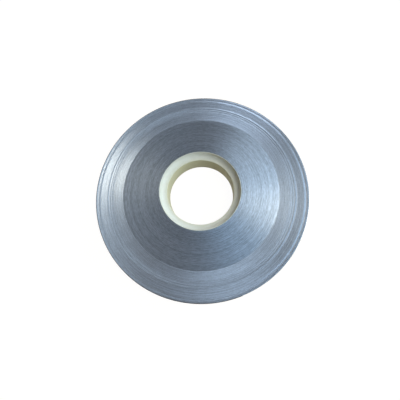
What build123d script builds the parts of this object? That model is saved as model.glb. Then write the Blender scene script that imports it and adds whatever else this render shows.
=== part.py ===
"""Pancake coil of nickel-plated strip, wound on a moulded plastic core.

The axis is Z and the coil lies flat. The origin is on the axis, level with the foot of the core
and with the lowest turns, which is what the coil lies on. All sizes are in millimetres.
"""

import os

from build123d import *

# The strip and the coil that it makes
strip_width = 27.0
coil_diameter = 236.0
valley_diameter = 174.0  # where the turns lie lowest, between the core zone and the rim zone
core_zone_rise = 1.0  # how far the innermost turns lie above the valley
rim_zone_rise = 0.8  # how far the outermost turns lie above the valley

# The core: a tube with a coved recess in its upper end
core_bore_diameter = 76.2  # three inches, for a winding shaft
core_wall = 7.6
core_rim_stand = 0.3  # how far the core stands above the innermost turns
core_rim_width = 1.3
recess_depth = 7.0
ledge_width = 1.3
ledge_chamfer = 0.5
bore_lead_in = 0.5

# Turns that slipped together while the strip was wound form level bands, stepped like stairs.
# Each pair says where a band starts, as a share of the way across its zone, and how high it
# lies, as a share of that zone's rise. The last band of the core zone is the valley.
core_zone_shares = (
    (0.00, 1.00),
    (0.15, 0.60),
    (0.19, 0.80),
    (0.50, 0.44),
    (0.84, 0.00),
)
rim_zone_shares = (
    (0.18, 0.15),
    (0.49, 0.85),
    (0.58, 0.45),
    (0.84, 0.10),
    (0.90, 1.00),
)

coil_radius = coil_diameter / 2
valley_radius = valley_diameter / 2
bore_radius = core_bore_diameter / 2
core_radius = bore_radius + core_wall
core_height = core_zone_rise + strip_width + core_rim_stand


def wound_face(valley_height):
    """Section points of one end face of the coil, from the innermost turn to the outermost."""
    core_zone_width = valley_radius - core_radius
    rim_zone_width = coil_radius - valley_radius
    bands = [
        (core_radius + start * core_zone_width, valley_height + level * core_zone_rise)
        for start, level in core_zone_shares
    ] + [
        (valley_radius + start * rim_zone_width, valley_height + level * rim_zone_rise)
        for start, level in rim_zone_shares
    ]
    ends = [start for start, level in bands[1:]] + [coil_radius]
    points = []
    for (start, level), end in zip(bands, ends):
        points += [(start, level), (end, level)]
    return points


# Strip coil: the strip is equally wide in every turn, so the two end faces are parallel
lower_face = wound_face(0)
upper_face = wound_face(strip_width)
with BuildPart() as strip_coil:
    with BuildSketch(Plane.XZ):
        with BuildLine():
            Polyline(*lower_face, *reversed(upper_face), close=True)
        make_face()
    revolve(axis=Axis.Z)
strip_coil.part.label = "strip_coil"

# Core: the recess leaves a thin rim, and its cove runs out into a narrow ledge round the bore
ledge_height = core_height - recess_depth
recess_radius = core_radius - core_rim_width
cove_radius = core_wall - core_rim_width - ledge_width
recess_corner = (recess_radius, ledge_height)
ledge_edge = (bore_radius, ledge_height)
bore_mouth = (bore_radius, 0)
with BuildPart() as core:
    with BuildSketch(Plane.XZ) as core_section:
        with BuildLine():
            Polyline(
                bore_mouth,
                (core_radius, 0),
                (core_radius, core_height),
                (recess_radius, core_height),
                recess_corner,
                ledge_edge,
                close=True,
            )
        make_face()
        fillet(core_section.vertices().sort_by_distance(recess_corner)[0], radius=cove_radius)
        chamfer(core_section.vertices().sort_by_distance(ledge_edge)[0], length=ledge_chamfer)
        chamfer(core_section.vertices().sort_by_distance(bore_mouth)[0], length=bore_lead_in)
    revolve(axis=Axis.Z)
core.part.label = "core"

os.makedirs("parts", exist_ok=True)
for piece in (strip_coil, core):
    export_step(piece.part, f"parts/{piece.part.label}.step")
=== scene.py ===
"""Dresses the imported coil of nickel-plated strip for its studio picture.

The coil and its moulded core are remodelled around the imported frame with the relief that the
turned solids leave out: the rings that the turns lie in, the free end of the strip and the soft
corners of the moulding. They lie on a pale floor among softboxes and are seen from above.
"""

import logging
import math
import random
from dataclasses import dataclass
from enum import Enum
from typing import Any, Mapping, Optional, Sequence, Union

import bmesh
import bpy
from mathutils import Matrix, Quaternion, Vector


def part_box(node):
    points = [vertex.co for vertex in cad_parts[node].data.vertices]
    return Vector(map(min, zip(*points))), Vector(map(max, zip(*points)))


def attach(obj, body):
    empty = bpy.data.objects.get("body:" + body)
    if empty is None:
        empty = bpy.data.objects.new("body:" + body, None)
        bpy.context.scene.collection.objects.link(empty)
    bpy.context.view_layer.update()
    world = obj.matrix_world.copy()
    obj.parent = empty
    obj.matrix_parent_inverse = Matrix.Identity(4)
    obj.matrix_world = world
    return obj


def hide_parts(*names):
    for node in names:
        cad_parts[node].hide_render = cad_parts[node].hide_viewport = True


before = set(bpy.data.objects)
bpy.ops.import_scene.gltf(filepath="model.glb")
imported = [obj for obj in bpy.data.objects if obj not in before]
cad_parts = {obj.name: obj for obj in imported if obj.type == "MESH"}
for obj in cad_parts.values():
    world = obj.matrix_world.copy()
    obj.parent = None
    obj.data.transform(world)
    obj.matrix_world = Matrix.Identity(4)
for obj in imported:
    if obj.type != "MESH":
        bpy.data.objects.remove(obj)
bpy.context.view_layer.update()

LOG = logging.getLogger("strip_coil_scene")
BODY = "root"
MM = 0.001
MERGE_DISTANCE = 0.001 * MM
ORIGIN = (0.0, 0.0, 0.0)
UP = (0.0, 0.0, 1.0)
NOISE_MEAN = 0.5
RAMP_MIDDLE = 0.5

Colour = tuple[float, float, float]
Point = tuple[float, float]
MeshPart = Union[bmesh.types.BMVert, bmesh.types.BMEdge, bmesh.types.BMFace]

WHITE: Colour = (1.0, 1.0, 1.0)


class Slot(Enum):
    """Material slots of the record that the pieces take their finish from."""

    NICKEL_PLATE = "nickel_plate"
    CORE_PLASTIC = "core_plastic"


class Facing(Enum):
    """Which end face of the coil a section runs along."""

    UPPER = "upper"
    LOWER = "lower"


class Reach(Enum):
    """What a lamp acts on: everything, only the shine of the metal, or only matt colour."""

    ALL = "all"
    METAL = "metal"
    MATT = "matt"


class Grain(Enum):
    """Which way a sheen is drawn out on the end of the coil, as a share of a full turn."""

    ALONG = 0.0
    ACROSS = 0.25


# Shader maths


class Value:
    """A number that varies over a surface, with arithmetic that adds Math nodes."""

    def __init__(self, graph: "Graph", socket: bpy.types.NodeSocket) -> None:
        """Wraps an output socket.

        Args:
            graph: The graph that the socket belongs to.
            socket: The output socket that carries the number.
        """
        self.graph = graph
        self.socket = socket

    def __add__(self, other: "Number") -> "Value":
        """This number plus another."""
        return self.graph.math("ADD", self, other)

    def __radd__(self, other: "Number") -> "Value":
        """Another number plus this one."""
        return self.graph.math("ADD", other, self)

    def __sub__(self, other: "Number") -> "Value":
        """This number minus another."""
        return self.graph.math("SUBTRACT", self, other)

    def __rsub__(self, other: "Number") -> "Value":
        """Another number minus this one."""
        return self.graph.math("SUBTRACT", other, self)

    def __mul__(self, other: "Number") -> "Value":
        """This number times another."""
        return self.graph.math("MULTIPLY", self, other)

    def __rmul__(self, other: "Number") -> "Value":
        """Another number times this one."""
        return self.graph.math("MULTIPLY", other, self)

    def __truediv__(self, other: "Number") -> "Value":
        """This number divided by another."""
        return self.graph.math("DIVIDE", self, other)

    def __rtruediv__(self, other: "Number") -> "Value":
        """Another number divided by this one."""
        return self.graph.math("DIVIDE", other, self)

    def __pow__(self, other: "Number") -> "Value":
        """This number raised to a power."""
        return self.graph.math("POWER", self, other)

    def step(self, low: float, high: float) -> "Value":
        """A smooth ramp from 0 at low to 1 at high.

        Args:
            low: Where the ramp starts.
            high: Where the ramp ends.

        Returns:
            The ramp's value.
        """
        ramp = self.graph.node(
            "ShaderNodeMapRange",
            {"interpolation_type": "SMOOTHSTEP"},
            {"Value": self, "From Min": low, "From Max": high},
        )
        return Value(self.graph, ramp.outputs["Result"])


Number = Union[Value, float]


class Graph:
    """The nodes of one material or world, added one at a time."""

    def __init__(self, tree: bpy.types.NodeTree) -> None:
        """Empties a node tree to build in.

        Args:
            tree: The tree to fill.
        """
        self.tree = tree
        tree.nodes.clear()

    def node(
        self,
        kind: str,
        settings: Optional[Mapping[str, Any]] = None,
        inputs: Optional[Mapping[Union[str, int], Any]] = None,
    ) -> bpy.types.Node:
        """Adds one node.

        Args:
            kind: The node's type name.
            settings: Properties, set first. "stops" fills a colour ramp with (place, colour) pairs.
            inputs: Values or links, by socket name or number.

        Returns:
            The new node.
        """
        made = self.tree.nodes.new(kind)
        for name, setting in (settings or {}).items():
            if name == "stops":
                self._fill_ramp(made.color_ramp, setting)
            else:
                setattr(made, name, setting)
        for name, given in (inputs or {}).items():
            socket = made.inputs[name]
            if isinstance(given, Value):
                given = given.socket
            if isinstance(given, bpy.types.NodeSocket):
                self.tree.links.new(given, socket)
            elif socket.type == "RGBA" and len(given) == 3:
                socket.default_value = (*given, 1.0)
            else:
                socket.default_value = given
        return made

    @staticmethod
    def _fill_ramp(ramp: bpy.types.ColorRamp, stops: Sequence[tuple[float, Colour]]) -> None:
        """Sets a colour ramp's stops.

        Args:
            ramp: The ramp to fill.
            stops: Places and colours, in order.
        """
        while len(ramp.elements) < len(stops):
            ramp.elements.new(1.0)
        for element, (place, colour) in zip(ramp.elements, stops):
            element.position = place
            element.color = (*colour, 1.0)

    def math(self, operation: str, first: Number, second: Number) -> Value:
        """Adds a Math node.

        Args:
            operation: The node's operation.
            first: Its first number.
            second: Its second number.

        Returns:
            The result.
        """
        made = self.node("ShaderNodeMath", {"operation": operation}, {0: first, 1: second})
        return Value(self, made.outputs[0])

    def place(self) -> tuple[Value, Value, Value]:
        """The surface point's X, Y and Z in the frame, in metres."""
        coordinates = self.node("ShaderNodeTexCoord")
        split = self.node("ShaderNodeSeparateXYZ", None, {0: coordinates.outputs["Object"]})
        return tuple(Value(self, split.outputs[axis]) for axis in "XYZ")

    @staticmethod
    def polar(x: Value, y: Value) -> tuple[Value, Value, Value]:
        """Turns a place into a distance from the Z axis and a direction away from it.

        Args:
            x: The place's X.
            y: The place's Y.

        Returns:
            The distance, and the X and Y of the direction.
        """
        radius = (x * x + y * y) ** 0.5
        return radius, x / radius, y / radius

    def backdrop_rays(self) -> tuple[Value, Value]:
        """Tells the rays that see the backdrop from those that only carry light.

        Returns:
            1 for a ray from the camera or through glass, and 1 for one off a shiny surface.
        """
        path = self.node("ShaderNodeLightPath")
        seen, through, mirrored = (
            Value(self, path.outputs[f"Is {kind} Ray"])
            for kind in ("Camera", "Transmission", "Glossy")
        )
        return seen + through, mirrored

    def vector(self, x: Number, y: Number, z: Number) -> bpy.types.NodeSocket:
        """Three numbers as one vector.

        Args:
            x: First part.
            y: Second part.
            z: Third part.

        Returns:
            The vector's socket.
        """
        return self.node("ShaderNodeCombineXYZ", None, {0: x, 1: y, 2: z}).outputs[0]

    def noise(self, place: bpy.types.NodeSocket, scale: float, detail: float = 2.0) -> Value:
        """Soft noise from 0 to 1, about 0.5.

        Args:
            place: The point to read it at.
            scale: Waves per unit.
            detail: Octaves beyond the first.

        Returns:
            The noise's value.
        """
        made = self.node(
            "ShaderNodeTexNoise", None, {"Vector": place, "Scale": scale, "Detail": detail}
        )
        return Value(self, made.outputs[0])

    def mix(self, factor: Number, first: Any, second: Any) -> bpy.types.NodeSocket:
        """Mixes two colours.

        Args:
            factor: Share of the second colour.
            first: A colour or a colour socket.
            second: A colour or a colour socket.

        Returns:
            The mixed colour's socket.
        """
        made = self.node(
            "ShaderNodeMix",
            {"data_type": "RGBA", "blend_type": "MIX"},
            {0: factor, 6: first, 7: second},
        )
        return made.outputs[2]

    def lean(self, towards: bpy.types.NodeSocket, slope: float) -> bpy.types.NodeSocket:
        """The surface's normal, leant over.

        Args:
            towards: The direction that it leans to.
            slope: Tangent of the angle that it leans by.

        Returns:
            The leaning normal's socket.
        """
        upright = self.node("ShaderNodeNewGeometry").outputs["Normal"]
        leant = self.node(
            "ShaderNodeVectorMath",
            {"operation": "MULTIPLY_ADD"},
            {0: towards, 1: (slope, slope, slope), 2: upright},
        )
        made = self.node(
            "ShaderNodeVectorMath", {"operation": "NORMALIZE"}, {0: leant.outputs[0]}
        )
        return made.outputs[0]

    def bump(self, height: Value, distance: float) -> bpy.types.NodeSocket:
        """A normal from a height.

        Args:
            height: The height, in units of distance.
            distance: Metres that one unit of height stands for.

        Returns:
            The normal's socket.
        """
        made = self.node(
            "ShaderNodeBump", None, {"Height": height, "Strength": 1.0, "Distance": distance}
        )
        return made.outputs[0]

    def surface(self, shader: bpy.types.Node) -> None:
        """Sends a shader to the tree's output.

        Args:
            shader: The node whose first output is shown.
        """
        world = isinstance(self.tree.id_data, bpy.types.World)
        kind = "ShaderNodeOutputWorld" if world else "ShaderNodeOutputMaterial"
        self.node(kind, None, {"Surface": shader.outputs[0]})


def new_material(name: str) -> tuple[bpy.types.Material, Graph]:
    """Starts a material.

    Args:
        name: The material's name.

    Returns:
        The material and its empty graph.
    """
    material = bpy.data.materials.new(name)
    material.use_nodes = True
    return material, Graph(material.node_tree)


# Finishes


@dataclass(frozen=True)
class Flank:
    """One slope of the turns' slit edges, finer than the mesh, and the sheen that it gives.

    The lean is outwards from the coil's axis, or inwards where it is negative.
    """

    lean_deg: float
    roughness: float
    anisotropy: float
    drawn: Grain = Grain.ACROSS


@dataclass(frozen=True)
class Marks:
    """Fine marks drawn out along the turns, and how far they dull the plating."""

    waves_round: float
    waves_across: float
    dulling: float


@dataclass(frozen=True)
class PlatedEdges:
    """Nickel plating on the slit edges of the turns: an outer and an inner flank on each.

    The inner flank's share grows from its first to its second value between the two share radii.
    Ring shares change it from one bundle of turns to the next: radii in millimetres, and changes.
    """

    name: str
    outer: Flank
    inner: Flank
    inner_share: Point
    share_radii: Point
    marks: tuple[Marks, ...]
    ring_shares: tuple[Point, ...] = ()
    metal: Colour = (0.57, 0.65, 0.74)
    grime: Colour = (0.14, 0.16, 0.19)
    mark_edges: Point = (0.36, 0.64)
    usual_dulling: float = 0.3
    roughness_spread: float = 0.03

    def material(self) -> bpy.types.Material:
        """Makes the material.

        Returns:
            The material.
        """
        material, graph = new_material(self.name)
        x, y, z = graph.place()
        radius, east, north = graph.polar(x, y)
        dull: Number = 0.0
        for mark in self.marks:
            spot = graph.vector(
                east * mark.waves_round,
                north * mark.waves_round,
                (radius + z) * mark.waves_across,
            )
            depth = graph.noise(spot, 1.0).step(*self.mark_edges)
            dull = dull + depth * mark.dulling
        colour = graph.mix(dull, self.metal, self.grime)
        change = (dull - self.usual_dulling) * self.roughness_spread
        outwards = graph.vector(east, north, 0.0)
        flanks = []
        for flank in (self.outer, self.inner):
            shader = graph.node(
                "ShaderNodeBsdfPrincipled",
                None,
                {
                    "Base Color": colour,
                    "Metallic": 1.0,
                    "Roughness": flank.roughness + change,
                    "Anisotropic": flank.anisotropy,
                    "Anisotropic Rotation": flank.drawn.value,
                    "Normal": graph.lean(outwards, math.tan(math.radians(flank.lean_deg))),
                },
            )
            flanks.append(shader.outputs[0])
        least, most = self.inner_share
        share = least + radius.step(*self.share_radii) * (most - least)
        if self.ring_shares:
            share = share + self._ring_change(graph, radius)
        both = graph.node("ShaderNodeMixShader", None, {0: share, 1: flanks[0], 2: flanks[1]})
        graph.surface(both)
        return material

    def _ring_change(self, graph: Graph, radius: Value) -> Value:
        """How much more or less of the inner flank shows, from one bundle of turns to the next.

        Args:
            graph: The material's graph.
            radius: Distance from the coil's axis.

        Returns:
            The change of the inner flank's share.
        """
        first, last = self.ring_shares[0][0], self.ring_shares[-1][0]
        stops = [
            ((place - first) / (last - first), (RAMP_MIDDLE + change,) * 3)
            for place, change in self.ring_shares
        ]
        along = (radius / MM - first) / (last - first)
        ramp = graph.node("ShaderNodeValToRGB", {"stops": stops}, {0: along})
        return Value(graph, ramp.outputs[0]) - RAMP_MIDDLE


@dataclass(frozen=True)
class PlatedFace:
    """Nickel plating on the rolled face of the strip: bright, with faint rolling lines."""

    metal: Colour = (0.43, 0.45, 0.47)
    dulled: Colour = (0.35, 0.37, 0.39)
    roughness: float = 0.22
    roughness_spread: float = 0.10
    line_waves_up: float = 2200.0
    line_waves_round: float = 2.0
    cloud_waves: float = 26.0
    cloud_edges: Point = (0.45, 0.75)
    line_height: float = 0.005 * MM

    def material(self) -> bpy.types.Material:
        """Makes the material.

        Returns:
            The material.
        """
        material, graph = new_material("plated_face")
        x, y, z = graph.place()
        _, east, north = graph.polar(x, y)
        line_place = graph.vector(
            east * self.line_waves_round,
            north * self.line_waves_round,
            z * self.line_waves_up,
        )
        lines = graph.noise(line_place, 1.0)
        clouds = graph.noise(graph.vector(x, y, z), self.cloud_waves)
        change = (lines + clouds - 2.0 * NOISE_MEAN) * self.roughness_spread
        shader = graph.node(
            "ShaderNodeBsdfPrincipled",
            None,
            {
                "Base Color": graph.mix(clouds.step(*self.cloud_edges), self.metal, self.dulled),
                "Metallic": 1.0,
                "Roughness": self.roughness + change,
                "Normal": graph.bump(lines, self.line_height),
            },
        )
        graph.surface(shader)
        return material


@dataclass(frozen=True)
class MouldedPlastic:
    """Ivory plastic as it leaves the mould: waxy and faintly scuffed, with painted warm shade in
    the bore.
    """

    ivory: Colour = (0.85, 0.835, 0.71)
    mottled: Colour = (0.83, 0.805, 0.67)
    # Painted warm shade: the bore below the ledge is painted this darker, yellower colour instead
    # of the ivory.
    bore_shade: Colour = (0.81, 0.745, 0.47)
    bore_shade_edges: Point = (20.6 * MM, 21.6 * MM)
    roughness: float = 0.48
    roughness_spread: float = 0.14
    sheen: float = 0.2
    mottle_waves: float = 160.0
    mottle_edges: Point = (0.35, 0.75)
    scuff_waves: float = 900.0
    scuff_height: float = 0.01 * MM

    def material(self) -> bpy.types.Material:
        """Makes the material.

        Returns:
            The material.
        """
        material, graph = new_material("moulded_plastic")
        x, y, z = graph.place()
        spot = graph.vector(x, y, z)
        mottle = graph.noise(spot, self.mottle_waves)
        scuff = graph.noise(spot, self.scuff_waves)
        clean = graph.mix(mottle.step(*self.mottle_edges), self.ivory, self.mottled)
        shader = graph.node(
            "ShaderNodeBsdfPrincipled",
            None,
            {
                # Painted warm shade: below the ledge the bore is painted the darker, yellower
                # colour.
                "Base Color": graph.mix(z.step(*self.bore_shade_edges), self.bore_shade, clean),
                "Roughness": self.roughness + (scuff - NOISE_MEAN) * self.roughness_spread,
                "Specular IOR Level": self.sheen,
                "Normal": graph.bump(scuff, self.scuff_height),
            },
        )
        graph.surface(shader)
        return material


@dataclass(frozen=True)
class PaleFloor:
    """A pale floor that reads as white and still takes the object's shadow."""

    shade: Colour = (0.10, 0.078, 0.048)
    glow: float = 0.97

    def material(self) -> bpy.types.Material:
        """Makes the material.

        Returns:
            The material.
        """
        material, graph = new_material("pale_floor")
        straight, mirrored = graph.backdrop_rays()
        matt = graph.node("ShaderNodeBsdfDiffuse", None, {"Color": self.shade})
        glow = graph.node(
            "ShaderNodeEmission",
            None,
            {"Color": WHITE, "Strength": (straight + mirrored) * self.glow},
        )
        both = graph.node("ShaderNodeAddShader", None, {0: matt.outputs[0], 1: glow.outputs[0]})
        graph.surface(both)
        return material


# Meshes


def spin_round(
    bm: bmesh.types.BMesh, geometry: Sequence[MeshPart], steps: int, merge: bool
) -> None:
    """Sweeps geometry once round the Z axis.

    Args:
        bm: The mesh that it belongs to.
        geometry: What is swept.
        steps: Steps of the full turn.
        merge: Whether the end of the turn joins its start.
    """
    bmesh.ops.spin(
        bm,
        geom=geometry,
        cent=ORIGIN,
        axis=UP,
        dvec=ORIGIN,
        angle=math.tau,
        steps=steps,
        use_merge=merge,
        use_normal_flip=False,
        use_duplicate=False,
    )


def spin_section(bm: bmesh.types.BMesh, section: Sequence[Point], segments: int) -> None:
    """Turns a closed section all the way round the Z axis.

    Args:
        bm: The mesh to add to.
        section: Radii and heights, in metres, in order round the section.
        segments: Steps of the full turn.
    """
    corners = [bm.verts.new((radius, 0.0, height)) for radius, height in section]
    sides = [bm.edges.new(ends) for ends in zip(corners, corners[1:] + corners[:1])]
    spin_round(bm, corners + sides, segments, merge=True)
    bmesh.ops.remove_doubles(bm, verts=bm.verts, dist=MERGE_DISTANCE)
    bmesh.ops.recalc_face_normals(bm, faces=bm.faces)


def finish_piece(
    bm: bmesh.types.BMesh,
    name: str,
    materials: Sequence[bpy.types.Material],
    sharp_deg: float,
) -> bpy.types.Object:
    """Makes a mesh into a named piece of the object, riding on its body.

    Args:
        bm: The finished mesh, which is freed.
        name: The piece's name.
        materials: Its finishes, in the order that the faces number them.
        sharp_deg: Edges that turn by more than this stay crisp.

    Returns:
        The piece.
    """
    mesh = bpy.data.meshes.new(name)
    bm.to_mesh(mesh)
    bm.free()
    for material in materials:
        mesh.materials.append(material)
    mesh.shade_smooth()
    mesh.set_sharp_from_angle(angle=math.radians(sharp_deg))
    piece = bpy.data.objects.new(name, mesh)
    bpy.context.scene.collection.objects.link(piece)
    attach(piece, BODY)
    LOG.info("%s: %d faces", name, len(mesh.polygons))
    return piece


def arc(centre: Point, radius: float, start_deg: float, end_deg: float, steps: int) -> list[Point]:
    """Points along an arc of a section.

    Args:
        centre: The arc's centre, as radius and height.
        radius: The arc's radius.
        start_deg: The direction of the first point, from the outward direction towards up.
        end_deg: The direction of the last point.
        steps: Straight pieces.

    Returns:
        The points in order.
    """
    turn = math.radians(end_deg - start_deg) / steps
    first = math.radians(start_deg)
    return [
        (
            centre[0] + radius * math.cos(first + turn * step),
            centre[1] + radius * math.sin(first + turn * step),
        )
        for step in range(steps + 1)
    ]


@dataclass(frozen=True)
class TurnZone:
    """A stretch of the coil whose turns were slit and wound alike.

    The levels say how far the turns stand above the lowest ones, by radius. Turns lie together in
    rings, which crest a little in the middle. All are in millimetres.
    """

    levels: tuple[Point, ...]
    ring_widths: Point
    ring_crest: float
    crest_range: Point = (0.3, 1.0)
    ring_points: int = 4

    def level(self, radius: float) -> float:
        """How far the turns stand up at a radius.

        Args:
            radius: Distance from the axis, in millimetres.

        Returns:
            The level there, in millimetres.
        """
        for (start, low), (end, high) in zip(self.levels, self.levels[1:]):
            if radius <= end:
                share = (radius - start) / (end - start)
                return low + (high - low) * share
        return self.levels[-1][1]

    def section(self, dice: random.Random) -> list[Point]:
        """The zone's edge line, ring by ring, from the inside out.

        Args:
            dice: Seeded chance that makes the rings uneven.

        Returns:
            Radii and levels, in metres.
        """
        start, last = self.levels[0][0], self.levels[-1][0]
        knots = [radius for radius, _ in self.levels]
        knots += [(near + far) / 2.0 for near, far in zip(knots, knots[1:])]
        points: list[Point] = []
        while start < last:
            width = dice.uniform(*self.ring_widths)
            crest = dice.uniform(*self.crest_range) * self.ring_crest * width
            places = [start + width * step / self.ring_points for step in range(self.ring_points)]
            places += [knot for knot in knots if start < knot < start + width]
            for place in sorted(places):
                lift = 1.0 - abs(2.0 * (place - start) / width - 1.0)
                if place < last:
                    points.append((place * MM, (self.level(place) + crest * lift) * MM))
            start += width
        points.append((last * MM, self.levels[-1][1] * MM))
        return points


@dataclass
class StripCoil:
    """The wound strip: its turns, with the free end of the strip on the outside."""

    outer_radius: float
    height: float
    rise: float = 1.0 * MM
    end_rise: float = 0.5 * MM
    strip_thickness: float = 0.3 * MM
    segments: int = 144
    face_segments: int = 288
    turns_crisp_deg: float = 3.0
    face_crisp_deg: float = 20.0
    free_end_deg: float = -81.0
    splice_radius: float = 87.0 * MM
    zones: tuple[TurnZone, ...] = (
        TurnZone(
            levels=(
                (45.7, 0.85),
                (50.4, 0.73),
                (51.0, 0.69),
                (56.0, 0.55),
                (70.0, 0.25),
                (78.0, 0.13),
                (87.0, 0.01),
            ),
            ring_widths=(1.8, 3.2),
            ring_crest=0.012,
        ),
        TurnZone(
            levels=((87.0, 0.04), (91.5, 0.10), (94.0, 0.15), (97.2, 0.21)),
            ring_widths=(1.5, 2.2),
            ring_crest=0.016,
        ),
        TurnZone(
            levels=(
                (97.2, 0.21),
                (97.9, 0.26),
                (98.7, 0.20),
                (99.2, 0.25),
                (99.9, 0.19),
                (100.9, 0.29),
                (101.9, 0.20),
                (103.3, 0.33),
                (104.9, 0.20),
            ),
            ring_widths=(1.3, 1.7),
            ring_crest=0.008,
        ),
        TurnZone(
            levels=((104.9, 0.20), (106.0, 0.26), (108.5, 0.35), (112.7, 0.55)),
            ring_widths=(1.6, 2.4),
            ring_crest=0.010,
        ),
        TurnZone(
            levels=((112.7, 0.55), (114.4, 0.42), (115.8, 0.56), (117.4, 0.47)),
            ring_widths=(1.2, 1.5),
            ring_crest=0.010,
        ),
    )
    core_zone_edges: PlatedEdges = PlatedEdges(
        name="core_zone_edges",
        outer=Flank(-1.2, 0.288, 0.48),
        inner=Flank(-21.0, 0.392, 0.083),
        inner_share=(0.15, 0.23),
        share_radii=(46.0 * MM, 80.0 * MM),
        marks=(Marks(14.0, 1600.0, 0.28), Marks(0.3, 1500.0, 0.26), Marks(60.0, 1500.0, 0.10)),
    )
    rim_zone_edges: PlatedEdges = PlatedEdges(
        name="rim_zone_edges",
        outer=Flank(12.8, 0.368, 0.31, Grain.ALONG),
        inner=Flank(-23.7, 0.298, 0.15, Grain.ALONG),
        inner_share=(0.45, 0.545),
        share_radii=(90.0 * MM, 110.0 * MM),
        marks=(Marks(12.0, 1600.0, 0.16), Marks(0.15, 1500.0, 0.30), Marks(60.0, 1500.0, 0.16)),
        ring_shares=(
            (91.0, 0.0),
            (92.2, 0.08),
            (93.2, -0.09),
            (94.8, 0.05),
            (96.2, -0.10),
            (97.3, 0.08),
            (98.3, -0.09),
            (98.9, 0.06),
            (99.5, -0.12),
            (100.4, 0.13),
            (101.5, -0.14),
            (102.7, 0.17),
            (104.4, -0.15),
            (106.6, 0.09),
            (108.6, 0.02),
            (111.6, 0.05),
            (113.8, -0.16),
            (115.7, 0.17),
            (117.0, 0.02),
            (117.6, 0.0),
        ),
    )
    face: PlatedFace = PlatedFace()

    @property
    def strip_width(self) -> float:
        """Width of the strip, the same in every turn."""
        return self.height - self.rise

    @property
    def wound_radius(self) -> float:
        """Radius of the wound body under the last turn, which spirals out by its thickness."""
        return self.outer_radius - 2.0 * self.strip_thickness

    def end_face(self, facing: Facing) -> list[Point]:
        """Section of one end face, from the innermost turn to the outermost.

        Args:
            facing: Which end.

        Returns:
            Radii and heights.
        """
        dice = random.Random(facing.value)
        base = self.strip_width if facing is Facing.UPPER else 0.0
        line = [point for zone in self.zones for point in zone.section(dice)]
        line.append((self.wound_radius, line[-1][1]))
        return [(radius, base + level) for radius, level in line]

    def build_turns(self) -> bpy.types.Object:
        """Turns the wound body of the coil.

        Returns:
            The piece.
        """
        bm = bmesh.new()
        section = self.end_face(Facing.LOWER) + self.end_face(Facing.UPPER)[::-1]
        spin_section(bm, section, self.segments)
        for turn_face in bm.faces:
            middle = turn_face.calc_center_median().xy.length
            turn_face.material_index = int(middle > self.splice_radius)
        finishes = (self.core_zone_edges.material(), self.rim_zone_edges.material())
        piece = finish_piece(
            bm, "strip_turns", finishes, self.turns_crisp_deg
        )
        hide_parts("strip_coil")
        return piece

    def build_outer_turn(self) -> bpy.types.Object:
        """Wraps the last turn, which spirals out over its own start and ends in a cut edge.

        Returns:
            The piece.
        """
        bm = bmesh.new()
        low = self.end_rise
        high = self.strip_width + self.end_rise
        corners = [
            bm.verts.new((self.wound_radius + across, 0.0, height))
            for across, height in (
                (0.0, low),
                (self.strip_thickness, low),
                (self.strip_thickness, high),
                (0.0, high),
            )
        ]
        strip_end = bm.faces.new(corners)
        spin_round(bm, [strip_end], self.face_segments, merge=False)
        self._spiral(bm, len(corners))
        bmesh.ops.recalc_face_normals(bm, faces=bm.faces)
        bmesh.ops.rotate(
            bm,
            verts=bm.verts,
            cent=ORIGIN,
            matrix=Matrix.Rotation(math.radians(self.free_end_deg), 3, "Z"),
        )
        piece = finish_piece(
            bm, "outer_turn", (self.face.material(),), self.face_crisp_deg
        )
        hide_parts("strip_coil")
        return piece

    def _spiral(self, bm: bmesh.types.BMesh, per_step: int) -> None:
        """Moves a ring of vertices outwards as it goes round, by one thickness in a full turn.

        Args:
            bm: The ring, whose vertices were made in order round the turn.
            per_step: Vertices of each section.
        """
        bm.verts.ensure_lookup_table()
        steps = len(bm.verts) // per_step - 1
        for number, corner in enumerate(bm.verts):
            share = (number // per_step) / steps
            outwards = Vector((corner.co.x, corner.co.y, 0.0)).normalized()
            corner.co += outwards * self.strip_thickness * share


@dataclass
class MouldedCore:
    """The ring that the strip is wound on: thin rim, coved recess, ledge and straight bore."""

    outer_radius: float
    height: float
    bore_radius: float = 38.1 * MM
    rim_width: float = 0.45 * MM
    recess_depth: float = 7.0 * MM
    ledge_width: float = 1.3 * MM
    soft_edge: float = 0.2 * MM
    ledge_round: float = 0.5 * MM
    bore_lead_in: float = 0.5 * MM
    segments: int = 160
    arc_steps: int = 10
    edge_steps: int = 4
    crisp_deg: float = 40.0
    finish: MouldedPlastic = MouldedPlastic()

    def section(self) -> list[Point]:
        """The core's section, from the bore's foot round the outside and back.

        Returns:
            Radii and heights.
        """
        edge = self.soft_edge
        recess = self.outer_radius - self.rim_width
        ledge = self.height - self.recess_depth
        cove = recess - self.bore_radius - self.ledge_width
        return [
            (self.bore_radius, self.bore_lead_in),
            (self.bore_radius + self.bore_lead_in, 0.0),
            *arc((self.outer_radius - edge, edge), edge, -90.0, 0.0, self.edge_steps),
            *arc((self.outer_radius - edge, self.height - edge), edge, 0.0, 90.0, self.edge_steps),
            *arc((recess + edge, self.height - edge), edge, 90.0, 180.0, self.edge_steps),
            *arc((recess - cove, ledge + cove), cove, 0.0, -90.0, self.arc_steps),
            *arc(
                (self.bore_radius + self.ledge_round, ledge - self.ledge_round),
                self.ledge_round,
                90.0,
                180.0,
                self.edge_steps,
            ),
        ]

    def build(self) -> bpy.types.Object:
        """Turns the core.

        Returns:
            The piece.
        """
        bm = bmesh.new()
        spin_section(bm, self.section(), self.segments)
        piece = finish_piece(
            bm, "moulded_core", (self.finish.material(),), self.crisp_deg
        )
        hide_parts("core")
        return piece


# Studio


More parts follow.
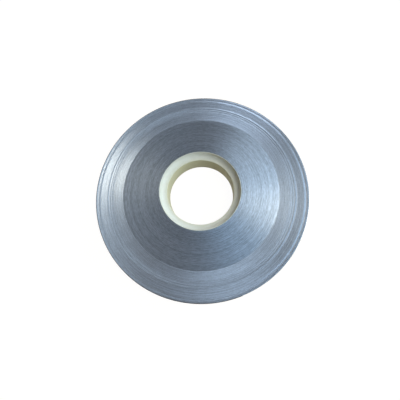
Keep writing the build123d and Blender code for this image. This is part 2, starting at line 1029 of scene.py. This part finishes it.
@dataclass(frozen=True)
class Softbox:
    """A rectangular lamp that faces the coil. Its azimuth runs from +X towards +Y."""

    name: str
    azimuth_deg: float
    elevation_deg: float
    width: float
    height: float
    radiance: float
    tint: Colour
    reach: Reach = Reach.ALL
    distance: float = 8.0

    def build(self) -> bpy.types.Object:
        """Hangs the lamp, and keeps it from what it isn't meant for.

        Returns:
            The lamp's object.
        """
        light = bpy.data.lights.new(self.name, "AREA")
        light.shape = "RECTANGLE"
        light.size = self.width
        light.size_y = self.height
        light.energy = self.radiance * math.pi * self.width * self.height
        light.color = self.tint
        lamp = bpy.data.objects.new(self.name, light)
        azimuth = math.radians(self.azimuth_deg)
        elevation = math.radians(self.elevation_deg)
        towards = Vector(
            (
                math.cos(azimuth) * math.cos(elevation),
                math.sin(azimuth) * math.cos(elevation),
                math.sin(elevation),
            )
        )
        lamp.location = towards * self.distance
        lamp.rotation_euler = towards.to_track_quat("Z", "Y").to_euler()
        lamp.visible_diffuse = self.reach is not Reach.METAL
        lamp.visible_glossy = self.reach is not Reach.MATT
        bpy.context.scene.collection.objects.link(lamp)
        return lamp


@dataclass(frozen=True)
class PhotoCamera:
    """The camera where the photograph was taken from, above the coil and rolled a little."""

    eye: tuple[float, float, float] = (0.0, -82.6 * MM, 285.5 * MM)
    aim: tuple[float, float, float] = (-2.3 * MM, -11.5 * MM, 27.0 * MM)
    roll_deg: float = -14.27
    focal_px: float = 243.9
    picture_px: float = 400.0
    sensor_width: float = 36.0
    clip_start: float = 1.0 * MM

    def build(self) -> bpy.types.Object:
        """Sets the camera up as the scene's own.

        Returns:
            The camera's object.
        """
        data = bpy.data.cameras.new("photo_camera")
        data.sensor_width = self.sensor_width
        data.lens = self.sensor_width * self.focal_px / self.picture_px
        data.clip_start = self.clip_start
        camera = bpy.data.objects.new("photo_camera", data)
        eye = Vector(self.eye)
        look = (Vector(self.aim) - eye).to_track_quat("-Z", "Y")
        roll = Quaternion(UP, math.radians(self.roll_deg))
        camera.matrix_world = Matrix.Translation(eye) @ (look @ roll).to_matrix().to_4x4()
        bpy.context.scene.collection.objects.link(camera)
        bpy.context.scene.camera = camera
        return camera


@dataclass(frozen=True)
class Studio:
    """Pale floor and sweep, a dim room and the lamps.

    The sweep is full up to one height above the horizon and fades out at another, both as sines.
    """

    floor_size: float = 6.0
    floor_gap: float = 0.1 * MM
    room: Colour = (0.06, 0.037, 0.026)
    sweep_full: float = 0.19
    sweep_end: float = 0.36
    lamps: tuple[Softbox, ...] = (
        Softbox("key_softbox", 8.2, 61.6, 1.57, 2.26, 5.9, (1.0, 0.85, 0.62)),
        Softbox("roof_softbox", 17.2, 76.3, 3.16, 3.58, 0.98, (0.48, 0.74, 1.0)),
        Softbox("top_softbox", 26.8, 63.7, 5.75, 2.40, 1.80, (0.74, 0.88, 1.0)),
        Softbox("near_softbox", -76.3, 57.0, 5.37, 2.45, 2.5, (0.70, 0.845, 1.0)),
        Softbox("far_softbox", 57.0, 19.2, 4.2, 5.07, 3.4, (0.73, 0.85, 1.0)),
        Softbox("right_softbox", -12.3, 24.6, 10.75, 6.78, 2.4, (0.62, 0.795, 0.96)),
        Softbox("back_softbox", 90.0, 41.0, 2.6, 1.12, 1.2, (0.74, 0.87, 1.0)),
        Softbox("left_card", 180.0, 46.0, 16.0, 4.29, 0.17, (1.0, 0.93, 0.86), Reach.METAL),
        Softbox("front_softbox", -40.0, 50.0, 4.0, 4.0, 1.5, (0.76, 0.92, 1.0), Reach.MATT),
    )
    floor: PaleFloor = PaleFloor()

    def build(self) -> None:
        """Lays the floor, lights the world and hangs the lamps."""
        bpy.context.scene.view_settings.view_transform = "Standard"
        self._lay_floor()
        self._light_world()
        for lamp in self.lamps:
            lamp.build()

    def _lay_floor(self) -> None:
        """Lays the floor just under the coil, clear of its underside."""
        bm = bmesh.new()
        bmesh.ops.create_grid(bm, x_segments=1, y_segments=1, size=self.floor_size / 2.0)
        bmesh.ops.translate(bm, verts=bm.verts, vec=(0.0, 0.0, -self.floor_gap))
        mesh = bpy.data.meshes.new("floor")
        bm.to_mesh(mesh)
        bm.free()
        mesh.materials.append(self.floor.material())
        floor = bpy.data.objects.new("floor", mesh)
        bpy.context.scene.collection.objects.link(floor)

    def _light_world(self) -> None:
        """Fills the room with a dim, even light and stands a pale sweep round it.

        The sweep shows to the camera and in the metal, and adds no light of its own.
        """
        world = bpy.data.worlds.new("studio_world")
        world.use_nodes = True
        bpy.context.scene.world = world
        graph = Graph(world.node_tree)
        straight, mirrored = graph.backdrop_rays()
        _, _, height = graph.place()
        sweep = 1.0 - height.step(self.sweep_full, self.sweep_end)
        colour = graph.mix(straight + mirrored * sweep, self.room, WHITE)
        graph.surface(graph.node("ShaderNodeBackground", None, {"Color": colour}))


def main() -> None:
    """Builds the coil, its core and the studio in order."""
    logging.basicConfig(level=logging.INFO, format="%(name)s: %(message)s")
    coil_low, coil_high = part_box("strip_coil")
    core_low, core_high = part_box("core")
    coil = StripCoil(outer_radius=coil_high.x, height=coil_high.z - coil_low.z)
    coil.build_turns()
    coil.build_outer_turn()
    MouldedCore(outer_radius=core_high.x, height=core_high.z - core_low.z).build()
    Studio().build()
    PhotoCamera().build()


if __name__ == "__main__":
    main()
